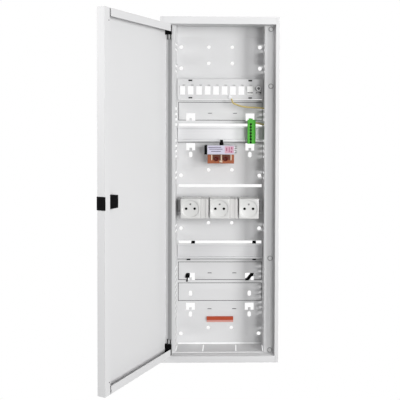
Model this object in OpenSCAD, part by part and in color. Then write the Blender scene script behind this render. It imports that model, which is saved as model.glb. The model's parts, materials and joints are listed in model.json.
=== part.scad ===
// Wall cabinet for communication wiring, with its door open
// Millimetres. +Z is up, the door side faces -Y, +X is the latch side.
// The origin is the centre of the four wall holes, on the back face of the box.

/* [Cover frame] */
// Outer width of the cover frame
frame_w = 262; // [240:1:320]
// Outer height of the cover frame
frame_h = 764; // [640:1:900]
// From the front of the frame to the back of the box
cabinet_d = 76; // [68:1:110]
// Thickness of the frame's and the box's sheet
sheet_t = 1.2; // [0.8:0.1:2]
// Width of the frame's lip at each side
lip_side = 7.8; // [6:0.1:14]
// Height of the frame's lip at the top
lip_top = 16; // [12:0.5:26]
// Height of the frame's lip at the bottom
lip_bottom = 14.5; // [12:0.5:26]
// Depth of the recess that takes the door
rebate_d = 21; // [19.5:0.5:26]

/* [Back box] */
// Width of the ledge between the recess and the box
ledge_w = 22.7; // [18:0.1:30]
// How far the box stands above the top of the door opening
box_rise = 4; // [2:0.5:8]
// How far the box floor stands above the bottom of the door opening
floor_rise = 1.8; // [0.5:0.1:4]
// Upper wall holes, down from the box's ceiling
hole_drop = 46; // [30:1:60]
// Lower wall holes, up from the box's floor
hole_rise = 24; // [16:1:40]
// Diameter of the wall holes
wall_hole_d = 9; // [6:0.5:12]
// Wall holes, in from the box's side walls
wall_hole_inset = 8.6; // [7:0.2:16]
// Diameter of the middle holes
mid_hole_d = 8; // [5:0.5:10]
// Half the distance between the middle holes
mid_hole_x = 27; // [20:1:36]
// Height of the ladder slots in the side walls
ladder_slot_h = 6; // [4:0.5:8]
// Sheet left in front of and behind a ladder slot
ladder_margin = 1.7; // [1.5:0.1:16]
// Height of the long slots across the back
long_slot_h = 7; // [4:0.5:9]

/* [Windows in the back] */
// Width of a cable window
window_w = 20.5; // [14:0.5:26]
// Height of a cable window
window_h = 17; // [12:0.5:22]
// Width of the tie tab in a cable window
tab_w = 6; // [4:0.5:9]
// Height of the tie tab
tab_h = 6; // [4:0.5:11]
// Cable windows, in from the box's side walls
window_inset = 30.8; // [24:0.2:40]
// Height of a knock-out plate
knockout_h = 42.5; // [36:0.5:46]

/* [Keystone strip] */
// Height of the strip
strip_h = 46; // [38:0.5:50]
// The strip's face, in front of the back sheet
strip_stand = 14.5; // [10:0.5:24]
// Width of a keystone window
key_w = 13; // [12:0.1:15]
// Height of a keystone window
key_h = 19.5; // [16:0.5:22]

/* [Rails] */
// Height of a mounting rail
rail_h = 35; // [30:0.5:40]
// Depth of a mounting rail
rail_d = 7.5; // [5:0.5:10]
// Thickness of the rail's sheet
rail_t = 1; // [0.8:0.1:1.5]
// Rail's front, in front of the back sheet
rail_stand = 11.5; // [10:0.5:16]

/* [Sockets] */
// Width and height of a socket's face
socket_w = 44.6; // [40:0.1:48]
// Socket's face, behind the front of the frame
socket_back = 19.5; // [18.5:0.5:30]
// Diameter of the socket's well
well_d = 39; // [34:0.5:40]
// Depth of the socket's well
well_h = 4.5; // [4:0.5:16]
// Distance between the two contact holes
contact_pitch = 19; // [15:0.5:20]
// Diameter of a contact hole
contact_d = 5.4; // [4.5:0.1:6]

/* [Earth terminal] */
// Width of the terminal block
term_w = 18.2; // [14:0.2:22]
// Pitch of its clamps
term_pitch = 6.8; // [6:0.1:8]
// Depth of the terminal block
term_d = 25; // [18:0.5:30]
// Diameter of the earth wire
wire_d = 3.8; // [2:0.1:4]

/* [Splitter] */
// Width of the splitter's body
split_w = 62; // [50:1:70]
// Height of the splitter's body
split_h = 21; // [16:0.5:26]
// Depth of the splitter's body
split_d = 27.5; // [16:0.5:30]
// Height of the amber part under the body
amber_h = 20.5; // [14:0.5:26]

/* [Door] */
// Width of the door
door_w = 238.5; // [216:0.5:300]
// Thickness of the door
door_t = 17.4; // [15:0.1:19]
// Gap above and below the door
door_gap = 2; // [1.5:0.1:4]
// Thickness of the door's sheet
door_sheet = 1; // [0.8:0.1:1.4]
// Return lip at the door's top and bottom
door_lip = 15.4; // [10:0.1:22]
// Return lip at the door's free edge
edge_lip = 16; // [10:0.1:22]
// How far the door stands open, in degrees
open_angle = 116; // [0:1:118]

/* [Hinges and latch] */
// Diameter of the hinge pins
pin_d = 3; // [2.6:0.1:3.2]
// Hinge pin, in from the door's hinge edge
pin_u = 2.9; // [2.8:0.1:4]
// Hinge pin, in from the door's front face
pin_w = 3; // [2.9:0.1:3.6]
// Height of the upper hinge block
block_top_h = 20.5; // [18:0.5:34]
// Height of the lower hinge block
block_low_h = 24; // [18:0.5:34]
// Height of the latch body
latch_h = 24.8; // [24.2:0.1:38]
// Length of the latch body
latch_len = 27.5; // [26:0.5:40]
// Height of the latch bolt
bolt_h = 12; // [8:0.5:16]
// Travel of the latch bolt
bolt_travel = 8; // [6:0.5:9]

/* [Hidden] */

$fn = 32;
eps = 0.02;

// Levels along Y
front_y = -cabinet_d;
ledge_y = front_y + rebate_d;
frame_back_y = ledge_y + sheet_t;
back_y = -sheet_t;

// Door opening and box, measured from the centre of the wall holes
opening_w = frame_w - 2 * lip_side;
opening_h = frame_h - lip_top - lip_bottom;
box_h = opening_h + box_rise - floor_rise;
wall_hole_pitch_z = box_h - hole_drop - hole_rise;
box_top = wall_hole_pitch_z / 2 + hole_drop;
box_bottom = box_top - box_h;
opening_top = box_top - box_rise;
opening_bottom = opening_top - opening_h;
frame_top = opening_top + lip_top;
frame_bottom = opening_bottom - lip_bottom;
box_half = opening_w / 2 - ledge_w;
inner_half = box_half - sheet_t;
inner_w = 2 * inner_half;
wall_hole_x = inner_half - wall_hole_inset;
window_x = inner_half - window_inset;

// Heights inside the box, as shares of the box's height from its floor
function at(share) = box_bottom + share * box_h;
mid_rows = [at(0.9379), at(0.8873), at(0.5527), at(0.3849), at(0.0515)];
big_rows = [box_top - hole_drop, at(0.8709), at(0.5348), at(0.3676), box_bottom + hole_rise];
strip_z = at(0.8051);
rail_top_z = at(0.6659);
socket_z = at(0.4392);
rail_bottom_z = at(0.2981);
window_rows = [at(0.7189), at(0.6251), at(0.2140), at(0.1192)];
keyhole_rows = [at(0.6007), at(0.1607), at(0.0945)];
mark_rows = [at(0.7306), at(0.2257), at(0.1114)];
knockout_rows = [at(0.7367), at(0.2326), at(0.1659)];
long_slot_rows = [at(0.7777), at(0.6934), at(0.5025), at(0.3239)];
crease_rows = [at(0.9671), at(0.9059), at(0.8946), at(0.5649), at(0.0598)];
marker_z = at(0.0771);
split_z = at(0.6176);

// Ladder slots: the pitch and the groups that the side walls have
ladder_pitch = box_h / 60.7;
ladder_top = box_top - 43;
ladder_groups = [[0, 1], [4, 5], [12, 15], [18, 21], [24, 25], [34, 35], [42, 51], [54, 55]];
ladder_list = [for (group = ladder_groups) for (step = [group[0]:group[1]]) step];
ladder_front = frame_back_y + sheet_t + ladder_margin;
ladder_back = back_y - ladder_margin;

// Screws that hold the frame to the box, at both ledges
screw_x = (opening_w / 2 + box_half) / 2 + 1.6;
screw_rows = [at(0.984), at(0.812), at(0.288), at(0.006)];
screw_head_d = 10;
screw_head_h = 1.5;
screw_hole_d = 4.5;
screw_shank_d = 4;
flange_w = ledge_w - 2;

// Door hung on its pins. u runs from the hinge edge, w from the front face.
stile_gap = 2.6;
door_recess = 0.5;
pin_clear = 0.1;
pin_x = -opening_w / 2 + stile_gap + pin_u;
pin_y = front_y + door_recess + pin_w;
door_top = opening_top - door_gap;
door_bottom = opening_bottom + door_gap;
latch_z = at(0.4949);

// Draws its children in the door's own frame, turned to the open angle
module hung() {
    translate([pin_x, pin_y, 0])
        rotate([0, 0, -open_angle])
            translate([-pin_u, -pin_w, 0])
                children();
}

// A box by its lowest and highest corners
module block(a, b) {
    translate(a) cube([b[0] - a[0], b[1] - a[1], b[2] - a[2]]);
}

// A round bar along Y, from y0 to y1
module bar_y(x, z, d, y0, y1) {
    translate([x, y0, z]) rotate([-90, 0, 0]) cylinder(d = d, h = y1 - y0);
}

// A rectangular ring in the XZ plane, from y0 to y1
module ring(out_x, out_z0, out_z1, in_x, in_z0, in_z1, y0, y1) {
    difference() {
        block([-out_x, y0, out_z0], [out_x, y1, out_z1]);
        block([-in_x, y0 - 1, in_z0], [in_x, y1 + 1, in_z1]);
    }
}

// Cover frame: front lip, outer wall, recess wall and the two ledges
module cover_frame() {
    half = frame_w / 2;
    open_half = opening_w / 2;
    seam_w = 0.5;
    seam_h = 0.5;
    keeper_h = bolt_h + 3;
    keeper_y = front_y + door_recess + bolt_w;
    color("gainsboro") difference() {
        union() {
            ring(half, frame_bottom, frame_top, open_half, opening_bottom, opening_top,
                front_y, front_y + sheet_t);
            ring(half, frame_bottom, frame_top, half - sheet_t, frame_bottom + sheet_t, frame_top - sheet_t,
                front_y, frame_back_y);
            ring(open_half + sheet_t, opening_bottom - sheet_t, opening_top + sheet_t,
                open_half, opening_bottom, opening_top, front_y, frame_back_y);
            for (side = [-1, 1])
                block([min(side * box_half, side * (open_half + eps)), ledge_y, opening_bottom - eps],
                    [max(side * box_half, side * (open_half + eps)), frame_back_y, opening_top + eps]);
        }
        for (side = [-1, 1], z = screw_rows)
            bar_y(side * screw_x, z, screw_hole_d, ledge_y - 1, frame_back_y + 1);
        for (z = [opening_top - 1, opening_bottom - sheet_t - 1])
            translate([pin_x, pin_y, z]) cylinder(d = pin_d + pin_clear, h = sheet_t + 2);
        block([open_half - 1, keeper_y - 5, latch_z - keeper_h / 2],
            [open_half + sheet_t + 1, keeper_y + 5, latch_z + keeper_h / 2]);
        for (side = [-1, 1], ends = [[opening_top + sheet_t, frame_top + 1],
            [frame_bottom - 1, opening_bottom - sheet_t]])
            block([side * (open_half + sheet_t) - seam_w / 2, front_y - 1, ends[0]],
                [side * (open_half + sheet_t) + seam_w / 2, front_y + seam_h, ends[1]]);
    }
}

// A cable window with its tie tab
module cable_window(x, z) {
    difference() {
        block([x - window_w / 2, back_y - 1, z - window_h / 2], [x + window_w / 2, 1, z + window_h / 2]);
        block([x - tab_w / 2, back_y - 2, z - window_h / 2 - 1],
            [x + tab_w / 2, 2, z - window_h / 2 + tab_h]);
    }
}

// A slot with round ends, long along Z
module keyhole(x, z) {
    keyhole_w = 8;
    keyhole_h = 13;
    for (end = [-1, 1])
        bar_y(x, z + end * (keyhole_h - keyhole_w) / 2, keyhole_w, back_y - 1, 1);
    block([x - keyhole_w / 2, back_y - 1, z - (keyhole_h - keyhole_w) / 2],
        [x + keyhole_w / 2, 1, z + (keyhole_h - keyhole_w) / 2]);
}

// A slot through the box floor, long along Y
module floor_cut(x, w, y0, y1) {
    block([x - w / 2, y0, box_bottom - sheet_t - 1], [x + w / 2, y1, box_bottom + 1]);
}

// Back box: back sheet, four walls and the flanges that the frame is screwed to
module back_box() {
    groove_w = 1.2;
    groove_d = 0.8;
    crease_h = 0.8;
    crease_d = 0.3;
    fold_h = 4;
    fold_d = 1.2;
    knock_half = inner_half - 2;
    mark_w = 10;
    mark_h = 2;
    cut_half = key_x(9) + key_w / 2;
    cut_h = key_h + 1.7;
    slot_end = 3;
    corner_slot_w = 2;
    floor_slot_x = 37.5;
    floor_slot_w = 2.2;
    slot_front = frame_back_y + 4;
    color("whitesmoke") difference() {
        union() {
            block([-box_half, back_y, box_bottom - sheet_t], [box_half, 0, box_top + sheet_t]);
            ring(box_half, box_bottom - sheet_t, box_top + sheet_t, inner_half, box_bottom, box_top,
                frame_back_y, -eps);
            for (z = [box_bottom + fold_h / 2, box_top - fold_h / 2])
                block([-inner_half - eps, back_y - fold_d, z - fold_h / 2 - eps],
                    [inner_half + eps, back_y + eps, z + fold_h / 2 + eps]);
            for (side = [-1, 1])
                block([min(side * inner_half, side * (box_half + flange_w)), frame_back_y, opening_bottom],
                    [max(side * inner_half, side * (box_half + flange_w)), frame_back_y + sheet_t, opening_top]);
        }
        for (side = [-1, 1], z = big_rows)
            bar_y(side * wall_hole_x, z, wall_hole_d, back_y - 1, 1);
        for (side = [-1, 1], z = mid_rows)
            bar_y(side * mid_hole_x, z, mid_hole_d, back_y - 1, 1);
        for (side = [-1, 1], z = window_rows)
            cable_window(side * window_x, z);
        for (side = [-1, 1], z = keyhole_rows)
            keyhole(side * window_x, z);
        for (z = long_slot_rows)
            block([-inner_half + slot_end, back_y - 1, z - long_slot_h / 2],
                [inner_half - slot_end, 1, z + long_slot_h / 2]);
        block([-cut_half, back_y - 1, key_z - cut_h / 2], [cut_half, 1, key_z + cut_h / 2]);
        for (x = [-24, 33.5], z = mark_rows)
            block([x - mark_w / 2, back_y - 1, z - mark_h / 2],
                [x + mark_w / 2, back_y + groove_d, z + mark_h / 2]);
        for (z = knockout_rows)
            ring(knock_half, z - knockout_h / 2, z + knockout_h / 2,
                knock_half - groove_w, z - knockout_h / 2 + groove_w, z + knockout_h / 2 - groove_w,
                back_y - 1, back_y + groove_d);
        for (z = crease_rows)
            block([-inner_half, back_y - 1, z - crease_h / 2],
                [inner_half, back_y + crease_d, z + crease_h / 2]);
        for (step = ladder_list)
            block([-box_half - 1, ladder_front, ladder_top - step * ladder_pitch - ladder_slot_h / 2],
                [box_half + 1, ladder_back, ladder_top - step * ladder_pitch + ladder_slot_h / 2]);
        for (side = [-1, 1]) {
            floor_cut(side * (inner_half - corner_slot_w / 2), corner_slot_w, slot_front, back_y - 8);
            floor_cut(side * floor_slot_x, floor_slot_w, slot_front, back_y - 4);
        }
        for (side = [-1, 1], z = screw_rows)
            bar_y(side * screw_x, z, screw_hole_d, frame_back_y - 1, frame_back_y + sheet_t + 1);
    }
}

// Round-headed screws that hold the frame to the box
module frame_screws() {
    shank_len = 2 * sheet_t + 3;
    color("white") for (side = [-1, 1], z = screw_rows) {
        translate([side * screw_x, ledge_y, z]) rotate([90, 0, 0]) difference() {
            intersection() {
                cylinder(d = screw_head_d, h = screw_head_h);
                translate([0, 0, screw_head_h - 11]) sphere(r = 11, $fn = 64);
            }
            translate([-2.6, -0.5, screw_head_h - 0.5]) cube([5.2, 1, 1]);
            translate([-0.5, -2.6, screw_head_h - 0.5]) cube([1, 5.2, 1]);
        }
        bar_y(side * screw_x, z, screw_shank_d, ledge_y - eps, ledge_y + shank_len);
    }
}

// Keystone strip: a bridge with ten windows
strip_half = inner_half - 1;
strip_face = back_y - strip_stand;
key_pitch = inner_w / 10.25;
function key_x(index) = (index - 4.5) * key_pitch;
key_z = strip_z - 2.9;
earth_x = 22;

module keystone_strip() {
    slot_w = 9;
    slot_h = 3.4;
    notch_w = 3;
    notch_h = 1.8;
    notch_x = 3.6;
    foot = 4.5;
    slot_rise = 19.8;
    color("white") difference() {
        union() {
            block([-strip_half, strip_face, strip_z - strip_h / 2],
                [strip_half, strip_face + sheet_t, strip_z + strip_h / 2]);
            for (side = [-1, 1]) {
                block([side * (strip_half - sheet_t / 2) - sheet_t / 2, strip_face, strip_z - strip_h / 2],
                    [side * (strip_half - sheet_t / 2) + sheet_t / 2, back_y, strip_z + strip_h / 2]);
                block([side * (strip_half - foot / 2) - foot / 2, back_y - sheet_t, strip_z - strip_h / 2 + 9],
                    [side * (strip_half - foot / 2) + foot / 2, back_y, strip_z + strip_h / 2]);
            }
        }
        for (index = [0:9])
            block([key_x(index) - key_w / 2, strip_face - 1, key_z - key_h / 2],
                [key_x(index) + key_w / 2, strip_face + sheet_t + 1, key_z + key_h / 2]);
        for (index = [0:9])
            block([key_x(index) + notch_x - notch_w / 2, strip_face - 1, key_z + key_h / 2 - eps],
                [key_x(index) + notch_x + notch_w / 2, strip_face + sheet_t + 1, key_z + key_h / 2 + notch_h]);
        for (side = [-1, 1], level = [-1, 1])
            block([side * window_x - slot_w / 2, strip_face - 1, strip_z + level * slot_rise - slot_h / 2],
                [side * window_x + slot_w / 2, strip_face + sheet_t + 1, strip_z + level * slot_rise + slot_h / 2]);
        bar_y(earth_x, strip_z - strip_h / 2 + 5, 4.2, strip_face - 1, strip_face + sheet_t + 1);
    }
}

// Earth stud: a screw with a ring lug under its head, on the strip
module earth_stud() {
    z = strip_z - strip_h / 2 + 5;
    color("silver") union() {
        bar_y(earth_x, z, 8, strip_face - 0.8, strip_face);
        translate([earth_x, strip_face - 0.7, z]) rotate([90, 0, 0]) cylinder(d = 7, h = 2.4, $fn = 6);
        bar_y(earth_x, z, 4, strip_face - eps, strip_face + 7);
    }
}

// The body that a jack and the coaxial socket share: it fills a window and has a slot in its lower half
module key_insert(x) {
    w = key_w - 0.4;
    h = key_h - 0.6;
    proud = 1;
    slot_half = 5.6;
    slot_h = 1.4;
    slot_drop = 5;
    difference() {
        block([x - w / 2, strip_face - proud, key_z - h / 2], [x + w / 2, strip_face + 11, key_z + h / 2]);
        block([x - slot_half, strip_face - proud - 1, key_z - slot_drop - slot_h / 2],
            [x + slot_half, strip_face + 3, key_z - slot_drop + slot_h / 2]);
    }
}

// White data jack in the ninth window, with its shutter closed
module data_jack() {
    x = key_x(8);
    nose_half = 6.4;
    nose_rise = 4.2;
    nose_h = 10.6;
    shutter_half = 5.2;
    color("white") difference() {
        union() {
            key_insert(x);
            block([x - nose_half, strip_face - 3.4, key_z + nose_rise - nose_h / 2],
                [x + nose_half, strip_face - 0.9, key_z + nose_rise + nose_h / 2]);
        }
        block([x - shutter_half, strip_face - 4, key_z + nose_rise - nose_h / 2 + 1.4],
            [x + shutter_half, strip_face - 2.6, key_z + nose_rise + nose_h / 2 - 1.4]);
    }
}

// Coaxial socket in the tenth window: a barrel with its bore and pin hole
module coax_socket() {
    x = key_x(9);
    z = key_z + 4.4;
    barrel_d = 11.6;
    bore_d = 6.6;
    color("gainsboro") difference() {
        union() {
            key_insert(x);
            bar_y(x, z, barrel_d, strip_face - 9, strip_face - 0.9);
        }
        bar_y(x, z, bore_d, strip_face - 10, strip_face - 2.5);
        bar_y(x, z, 1.4, strip_face - 4, strip_face + 4);
    }
}

// Mounting rails: top-hat section
rail_face = back_y - rail_stand;
rail_half = inner_half - 1;

module rail(z) {
    rim = 4;
    color("lightgray") union() {
        for (side = [-1, 1]) {
            block([-rail_half, rail_face, z + side * (rail_h / 2 - rim / 2) - rim / 2],
                [rail_half, rail_face + rail_t, z + side * (rail_h / 2 - rim / 2) + rim / 2]);
            block([-rail_half, rail_face, z + side * (rail_h / 2 - rim) - rail_t / 2],
                [rail_half, rail_face + rail_d, z + side * (rail_h / 2 - rim) + rail_t / 2]);
        }
        block([-rail_half, rail_face + rail_d - rail_t, z - rail_h / 2 + rim - rail_t / 2],
            [rail_half, rail_face + rail_d, z + rail_h / 2 - rim + rail_t / 2]);
    }
}
module rail_top() { rail(rail_top_z); }
module rail_middle() { rail(socket_z); }
module rail_bottom() { rail(rail_bottom_z); }

// Brackets between the back sheet and the rails
module rail_brackets() {
    foot_w = 10;
    foot_h = 22;
    bracket_x = rail_half - foot_w / 2 - 2.5;
    color("lightgray") for (z = [rail_top_z, socket_z, rail_bottom_z], side = [-1, 1])
        block([side * bracket_x - foot_w / 2, rail_face + rail_d, z - foot_h / 2],
            [side * bracket_x + foot_w / 2, back_y, z + foot_h / 2]);
}

// Green earth terminal block, clipped on the top rail
term_x = 0.72 * inner_half;
term_count = 7;
term_z0 = rail_top_z - 21.7;
term_z1 = term_z0 + term_pitch * term_count + 6.8;
term_front = rail_face - term_d;
function clamp_z(index) = term_z0 + (index + 0.5) * term_pitch;
entry_rise = 2.6;

module terminal_block() {
    funnel_d = 4.6;
    tab_wide = 9;
    step_d = 8;
    color("mediumseagreen") difference() {
        union() {
            block([term_x - term_w / 2, term_front + step_d, term_z0],
                [term_x + term_w / 2, rail_face, term_z1]);
            block([term_x - term_w / 2, term_front, term_z0],
                [term_x + term_w / 4, term_front + step_d + eps, term_z1]);
            block([term_x - tab_wide / 2 - 2, term_front + 2, term_z1 - eps],
                [term_x + tab_wide / 2 - 2, term_front + 6, term_z1 + 2.6]);
            for (side = [-1, 1])
                block([term_x - term_w / 2 + 2, rail_face - 1, rail_top_z + side * (rail_h / 2 + 1) - 1],
                    [term_x + term_w / 2 - 2, rail_face + rail_t + 1.6, rail_top_z + side * (rail_h / 2 + 1) + 1]);
        }
        for (index = [0:term_count - 1]) {
            bar_y(term_x - 2, clamp_z(index), funnel_d, term_front - 1, term_front + 12);
            translate([term_x, term_front + 13, clamp_z(index) + entry_rise]) rotate([0, 90, 0])
                cylinder(d = wire_d + 0.6, h = term_w);
        }
    }
}

module terminal_screws() {
    color("silver") for (index = [0:term_count - 1])
        translate([term_x - 2, term_front + 12, clamp_z(index)]) rotate([90, 0, 0]) difference() {
            cylinder(d = 4.2, h = 3);
            translate([-2.2, -0.4, 2.2]) cube([4.4, 0.8, 1]);
        }
}

// Earth wire: from the stud, along the box to the right wall, out and back, to the top clamp
wire_start = [earth_x + 3.8, strip_face - wire_d / 2 - 0.3, strip_z - strip_h / 2 + 1];
wire_end = [term_x + term_w / 2 - 1, term_front + 13, clamp_z(term_count - 1) + entry_rise];
wire_points = [
    wire_start,
    wire_start + [1.2, -1.5, -4],
    wire_start + [4, -4, -10],
    [38, -21, 200],
    [46, -24, 197],
    [56, -26, 195],
    [68, -27, 194],
    [80, -28, 193.5],
    [91, -29, 192.6],
    [99, -30, 191.7],
    [104, -31, 190],
    [108, -31, 185],
    [109.5, -31, 178],
    [109, -31, 170],
    [107, -30.5, 162],
    [104, -30, 155.6],
    [99, -29, 154.8],
    [94, -27, 155.8],
    wire_end + [6, 0, -0.4],
    wire_end + [3, 0, 0],
    wire_end
];

function unit(v) = v / norm(v);
function heading(points, i) = unit(points[min(i + 1, len(points) - 1)] - points[max(i - 1, 0)]);
function side_of(t) = unit(cross(t, [0.2, 1, 0.1]));
function tube_ring(points, i, r, sides) =
    let (t = heading(points, i), s = side_of(t), b = cross(t, s))
    [for (k = [0:sides - 1]) points[i] + r * (cos(360 * k / sides) * s + sin(360 * k / sides) * b)];

// A tube along a list of points, as one closed polyhedron
module tube(points, d, sides) {
    count = len(points);
    rings = [for (i = [0:count - 1]) each tube_ring(points, i, d / 2, sides)];
    sides_faces = [for (i = [0:count - 2], k = [0:sides - 1])
        [i * sides + k, i * sides + (k + 1) % sides, (i + 1) * sides + (k + 1) % sides, (i + 1) * sides + k]];
    first = [for (k = [sides - 1:-1:0]) k];
    last = [for (k = [0:sides - 1]) (count - 1) * sides + k];
    polyhedron(points = rings, faces = concat(sides_faces, [first], [last]), convexity = 6);
}

// Points between the chosen ones, on a smooth curve
function between(p0, p1, p2, p3, t) = 0.5 * (2 * p1 + (p2 - p0) * t + (2 * p0 - 5 * p1 + 4 * p2 - p3) * t * t
    + (3 * p1 - p0 - 3 * p2 + p3) * t * t * t);
function smooth(points, parts) = concat([for (i = [0:len(points) - 2], k = [0:parts - 1])
    between(points[max(i - 1, 0)], points[i], points[i + 1], points[min(i + 2, len(points) - 1)], k / parts)],
    [points[len(points) - 1]]);

module earth_wire() {
    color("yellowgreen") tube(smooth(wire_points, 2), wire_d, 8);
}

// Television splitter under the top rail
split_back = back_y - 12;
split_front = split_back - split_d;
split_shift = 2;
split_right = split_w / 2 + split_shift;
split_left = split_right - split_w;

module splitter_bracket() {
    leg_w = 10;
    color("silver") union() {
        for (side = [-1, 1])
            block([side * 18 - leg_w / 2, split_back, split_z - 12],
                [side * 18 + leg_w / 2, back_y, split_z + 2]);
        block([-24, split_back - eps, split_z - 14], [24, split_back + sheet_t, split_z + 8]);
    }
}

module splitter_body() {
    color("silver") difference() {
        block([split_left, split_front, split_z - split_h / 2],
            [split_right, split_back - eps, split_z + split_h / 2]);
        for (index = [0:5])
            block([-22 + index * 8, split_front + 7, split_z + split_h / 2 - 1],
                [-18 + index * 8, split_back - 6, split_z + split_h / 2 + 1]);
    }
}

module splitter_label() {
    label_t = 0.4;
    label_rim = 0.7;
    color("lavender")
        block([split_left + label_rim, split_front - label_t, split_z - split_h / 2 + label_rim],
        [split_right - label_rim, split_front, split_z + split_h / 2 - label_rim]);
}

module splitter_amber() {
    color("peru") difference() {
        block([split_left + 1, split_front + 3, split_z - split_h / 2 - amber_h],
            [split_right - 1, split_back - 2, split_z - split_h / 2 - eps]);
        for (x = cap_places)
            bar_y(x, cap_z, cap_d + 0.4, split_front + 2, split_front + 6);
        block([-0.8, split_front + 2, split_z - split_h / 2 - amber_h - 1],
            [0.8, split_front + 5, split_z - split_h / 2 - 1]);
    }
}

cap_places = [-8, 13];
cap_d = 10;
cap_z = split_z - split_h / 2 - amber_h * 0.48;

module splitter_caps() {
    color("darkred") for (x = cap_places) difference() {
        bar_y(x, cap_z, cap_d, split_front - 1, split_front + 6);
        bar_y(x, cap_z, 4, split_front - 2, split_front + 2);
    }
}

module splitter_end() {
    end_w = 6;
    color("black") block([split_left - end_w, split_front - 0.6, split_z - split_h / 2],
        [split_left - eps, split_back - 4, split_z + split_h / 2]);
}

module splitter_plug() {
    z0 = split_z + split_h / 2 + eps / 2;
    color("dimgray") union() {
        translate([3.5, split_front + 6, z0]) cylinder(d = 9.4, h = 6);
        translate([3.5, split_front + 6, z0 + 6 - eps]) cylinder(d = 7, h = 6);
    }
}

module splitter_ports() {
    color("silver") for (z = [split_z + 5.5, split_z - 4.5])
        translate([split_right, split_front + 7, z]) rotate([0, 90, 0])
        difference() {
            cylinder(d = 7, h = 5);
            translate([0, 0, 2]) cylinder(d = 4.4, h = 4);
        }
}

// Socket outlets with an earth pin
socket_pitch = inner_w * 0.3285;
socket_front = front_y + socket_back;
function socket_x(index) = (index - 1) * socket_pitch;
pin_rise = 10;
well_floor = socket_front + well_h;
contact_depth = 18;
contact_sunk = 7;

module socket(index) {
    x = socket_x(index);
    half = socket_w / 2;
    edge = 1;
    notch_in = 6;
    notch_d = 6;
    color("white") difference() {
        union() {
            block([x - half, socket_front + edge, socket_z - half], [x + half, rail_face, socket_z + half]);
            block([x - half + edge, socket_front, socket_z - half + edge],
                [x + half - edge, socket_front + edge + eps, socket_z + half - edge]);
        }
        bar_y(x, socket_z, well_d, socket_front - 1, well_floor);
        for (side = [-1, 1])
            bar_y(x + side * contact_pitch / 2, socket_z, contact_d, well_floor - 1, well_floor + contact_depth);
        bar_y(x, socket_z + pin_rise, 4.9, well_floor - 1, well_floor + 8);
        block([x - half + notch_in, rail_face - notch_d, socket_z - half - 1],
            [x + half - notch_in, rail_face + 1, socket_z - rail_h / 2 - 1]);
    }
}
module socket_left() { socket(0); }
module socket_centre() { socket(1); }
module socket_right() { socket(2); }

// Filler pieces between the sockets
module filler(index) {
    gap = 2.6;
    x0 = socket_x(index) + socket_w / 2 + 0.2;
    x1 = socket_x(index + 1) - socket_w / 2 - gap;
    half = socket_w / 2 - 0.3;
    rib_w = (x1 - x0) / 4;
    color("white") union() {
        block([x0, socket_front + 2.2, socket_z - half], [x1, rail_face, socket_z + half]);
        block([x0, socket_front + 1.2, socket_z - half], [x0 + rib_w, socket_front + 3, socket_z + half]);
        block([x1 - 1.4 * rib_w, socket_front + 1.2, socket_z - half],
            [x1, socket_front + 3, socket_z + half]);
    }
}
module filler_left() { filler(0); }
module filler_right() { filler(1); }

module earth_pins() {
    color("silver") for (index = [0:2]) {
        bar_y(socket_x(index), socket_z + pin_rise, 4.8, socket_front + 1.4, well_floor + 8);
        translate([socket_x(index), socket_front + 1.4 + eps, socket_z + pin_rise]) rotate([90, 0, 0])
            cylinder(d1 = 4.8, d2 = 3.4, h = 0.9);
    }
}

module socket_contacts() {
    color("goldenrod") for (index = [0:2], side = [-1, 1])
        translate([socket_x(index) + side * contact_pitch / 2, well_floor + contact_sunk, socket_z])
            rotate([-90, 0, 0])
            difference() {
                cylinder(d = contact_d - 0.1, h = contact_depth - contact_sunk - 0.1);
                translate([0, 0, -1]) cylinder(d = contact_d - 1.2, h = 9);
            }
}

// Hook-and-loop straps. Each goes through the long slot: one end hangs in front of the sheet and
// behind the rail, the other runs down behind the sheet and comes out through a cable window.
strap_w = 1.4 * tab_w;
strap_t = 1.2;
strap_gap = 0.3;
strap_front = back_y - strap_gap - strap_t;
strap_slot_z = long_slot_rows[3];
strap_window_z = window_rows[2];
strap_tail_z = rail_bottom_z - rail_h / 2 - 5;

// A flat run of strap between two places, with its front at y
module strap_run(y, x0, z0, x1, z1, w) {
    end_h = 1;
    hull() {
        block([x0 - w / 2, y, z0 - end_h / 2], [x0 + w / 2, y + strap_t, z0 + end_h / 2]);
        block([x1 - w / 2, y, z1 - end_h / 2], [x1 + w / 2, y + strap_t, z1 + end_h / 2]);
    }
}

// The part of a strap that passes through the sheet
module strap_pass(x0, x1, z0, z1) {
    block([x0, strap_front, z0], [x1, strap_gap + strap_t, z1]);
}

// A strap's end in front of the sheet, from the long slot down to its tail
module strap_tail(slot_x, tail_x) {
    strap_pass(slot_x - strap_w / 2, slot_x + strap_w / 2, strap_slot_z - 2.6, strap_slot_z + 2.6);
    strap_run(strap_front, slot_x, strap_slot_z, tail_x, strap_tail_z, strap_w);
}

module strap_left() {
    slot_x = -0.627 * inner_half;
    tail_x = slot_x - 0.11 * inner_half;
    out_x = -window_x - 0.3 * window_w;
    out_z = strap_window_z + 0.33 * window_h;
    spike_w = 3.6;
    color("black") union() {
        strap_tail(slot_x, tail_x);
        strap_run(strap_gap, slot_x, strap_slot_z, out_x, out_z, strap_w);
        strap_pass(-window_x - 0.47 * window_w, -window_x - 0.6 * tab_w, strap_window_z, out_z);
        strap_run(strap_front, out_x, out_z, out_x - 1, strap_window_z - 0.12 * window_h, 1.2 * strap_w);
        strap_run(strap_front, out_x - 1, strap_window_z, out_x - 2, strap_window_z - 0.65 * window_h, spike_w);
    }
}

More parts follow.
